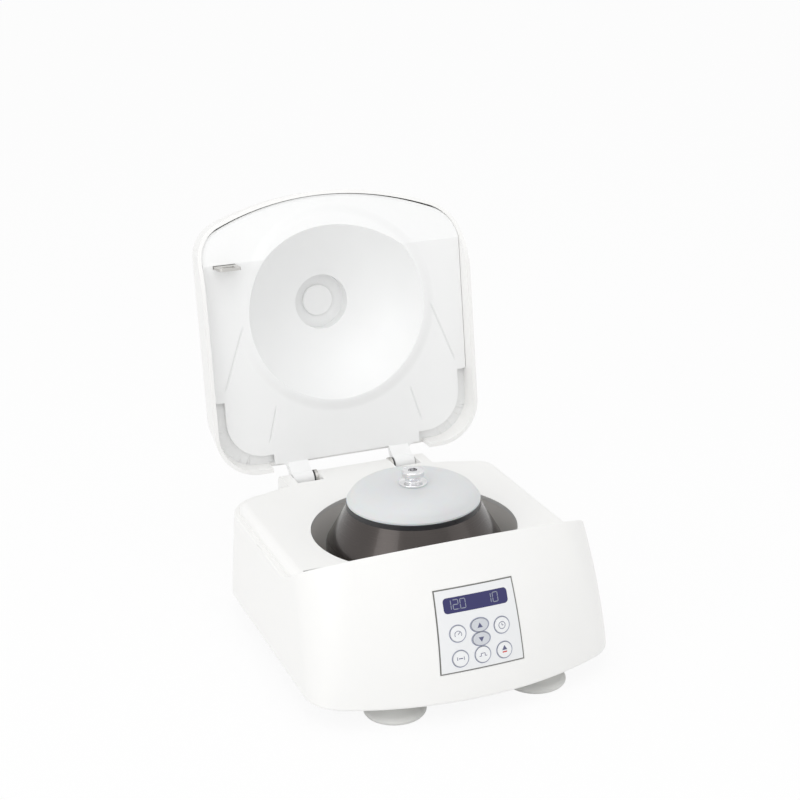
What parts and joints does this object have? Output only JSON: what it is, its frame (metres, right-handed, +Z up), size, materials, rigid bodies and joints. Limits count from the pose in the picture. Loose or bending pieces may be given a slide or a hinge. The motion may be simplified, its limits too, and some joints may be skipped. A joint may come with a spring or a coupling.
{
  "type": "mini centrifuge",
  "caption": "Bench-top mini centrifuge with an open hinged lid, a fixed-angle rotor under a knob-held disc, a round chamber, a latch and a small front panel.",
  "frame": {"origin": "centre of the footprint's box at floor level, under the four feet, with the lid open", "axes": "+X to the right seen from the front, +Y to the back, +Z up; the control panel faces -Y"},
  "size_m": [0.2108, 0.3202, 0.2818],
  "materials": {
    "white_plastic": "smooth, slightly glossy",
    "inner_white_plastic": "smooth",
    "bowl_metal": "satin",
    "rotor_metal": "dark anodised, fine turned",
    "band_black": "satin",
    "rotor_lid_plastic": "frosted, translucent plastic",
    "steel": "satin",
    "chrome": "polished",
    "rubber_grey": "matt",
    "rubber_black": "matt",
    "overlay_film": "satin film",
    "lens_plastic": "tinted clear plastic",
    "key_plastic": "satin",
    "board_green": "lacquered",
    "black_plastic": "satin",
    "copper_iron": "varnished"
  },
  "bodies": {
    "base": {"housing": "white_plastic", "base_plate": "inner_white_plastic", "base_screws": "steel", "rubber_feet": "rubber_grey", "foot_necks": "white_plastic", "foot_screws": "steel", "chamber_bowl": "bowl_metal", "shaft_seal": "rubber_black", "motor_can": "steel", "motor_end_cap": "steel", "motor_bearings": "steel", "motor_stator": "copper_iron", "motor_plate": "steel", "motor_dampers": "rubber_black", "motor_screws": "steel", "hinge_brackets": "steel", "hinge_washers": "black_plastic", "hinge_pins": "steel", "lock_well": "black_plastic", "solenoid": "steel", "panel_overlay": "overlay_film", "display_lens": "lens_plastic", "keypad_mat": "rubber_grey", "display_module": "black_plastic", "display_board": "board_green", "main_board": "board_green", "board_screws": "steel", "power_supply": "black_plastic", "power_inlet": "black_plastic", "switch_bezel": "black_plastic"},
    "lid": {"lid_shell": "white_plastic", "lid_liner": "inner_white_plastic", "lid_window": "lens_plastic", "latch_hook": "steel"},
    "rotor": {"rotor": "rotor_metal", "rotor_rim_ring": "band_black", "rotor_nut": "steel", "drive_shaft": "steel", "armature": "copper_iron"},
    "rotor_lid": {"rotor_lid": "rotor_lid_plastic"},
    "lid_knob": {"lid_knob": "chrome"},
    "power_rocker": {"power_rocker": "black_plastic"},
    "lock_bolt": {"lock_bolt": "steel"},
    "key_speed": {"key_speed": "key_plastic"},
    "key_time": {"key_time": "key_plastic"},
    "key_up": {"key_up": "key_plastic"},
    "key_down": {"key_down": "key_plastic"},
    "key_short": {"key_short": "key_plastic"},
    "key_pulse": {"key_pulse": "key_plastic"},
    "key_start": {"key_start": "key_plastic"}
  },
  "joints": [
    {"name": "lid_hinge", "type": "hinge", "parent": "base", "child": "lid", "pos_m": [0, 0.0782, 0.0808], "axis": [-1, 0, 0], "range_deg": [-96.5, 0]},
    {"name": "rotor_spin", "type": "hinge", "parent": "base", "child": "rotor", "pos_m": [0, -0.0431, 0.0855], "axis": [0, 0, 1], "continuous": true},
    {"name": "rotor_lid_lift", "type": "slide", "parent": "rotor", "child": "rotor_lid", "axis": [0, 0, 1], "range_m": [0, 0.045]},
    {"name": "lid_knob_turn", "type": "hinge", "parent": "rotor_lid", "child": "lid_knob", "pos_m": [0, -0.0431, 0.1155], "axis": [0, 0, 1], "range_deg": [0, 720]},
    {"name": "key_speed_press", "type": "slide", "parent": "base", "child": "key_speed", "axis": [0, 0.9536, -0.301], "range_m": [0, 0.0004], "stiffness_N_per_m": 1500, "springref_m": -0.0004},
    {"name": "key_time_press", "type": "slide", "parent": "base", "child": "key_time", "axis": [0, 0.9536, -0.301], "range_m": [0, 0.0004], "stiffness_N_per_m": 1500, "springref_m": -0.0004},
    {"name": "key_up_press", "type": "slide", "parent": "base", "child": "key_up", "axis": [0, 0.9536, -0.301], "range_m": [0, 0.0004], "stiffness_N_per_m": 1500, "springref_m": -0.0004},
    {"name": "key_down_press", "type": "slide", "parent": "base", "child": "key_down", "axis": [0, 0.9536, -0.301], "range_m": [0, 0.0004], "stiffness_N_per_m": 1500, "springref_m": -0.0004},
    {"name": "key_short_press", "type": "slide", "parent": "base", "child": "key_short", "axis": [0, 0.9536, -0.301], "range_m": [0, 0.0004], "stiffness_N_per_m": 1500, "springref_m": -0.0004},
    {"name": "key_pulse_press", "type": "slide", "parent": "base", "child": "key_pulse", "axis": [0, 0.9536, -0.301], "range_m": [0, 0.0004], "stiffness_N_per_m": 1500, "springref_m": -0.0004},
    {"name": "key_start_press", "type": "slide", "parent": "base", "child": "key_start", "axis": [0, 0.9536, -0.301], "range_m": [0, 0.0004], "stiffness_N_per_m": 1500, "springref_m": -0.0004},
    {"name": "power_rocker_tilt", "type": "hinge", "parent": "base", "child": "power_rocker", "pos_m": [0.022, 0.0757, 0.03408], "axis": [1, 0, 0], "range_deg": [0, 24]},
    {"name": "lock_bolt_slide", "type": "slide", "parent": "base", "child": "lock_bolt", "axis": [0, -1, 0], "range_m": [0, 0.0046]}
  ]
}
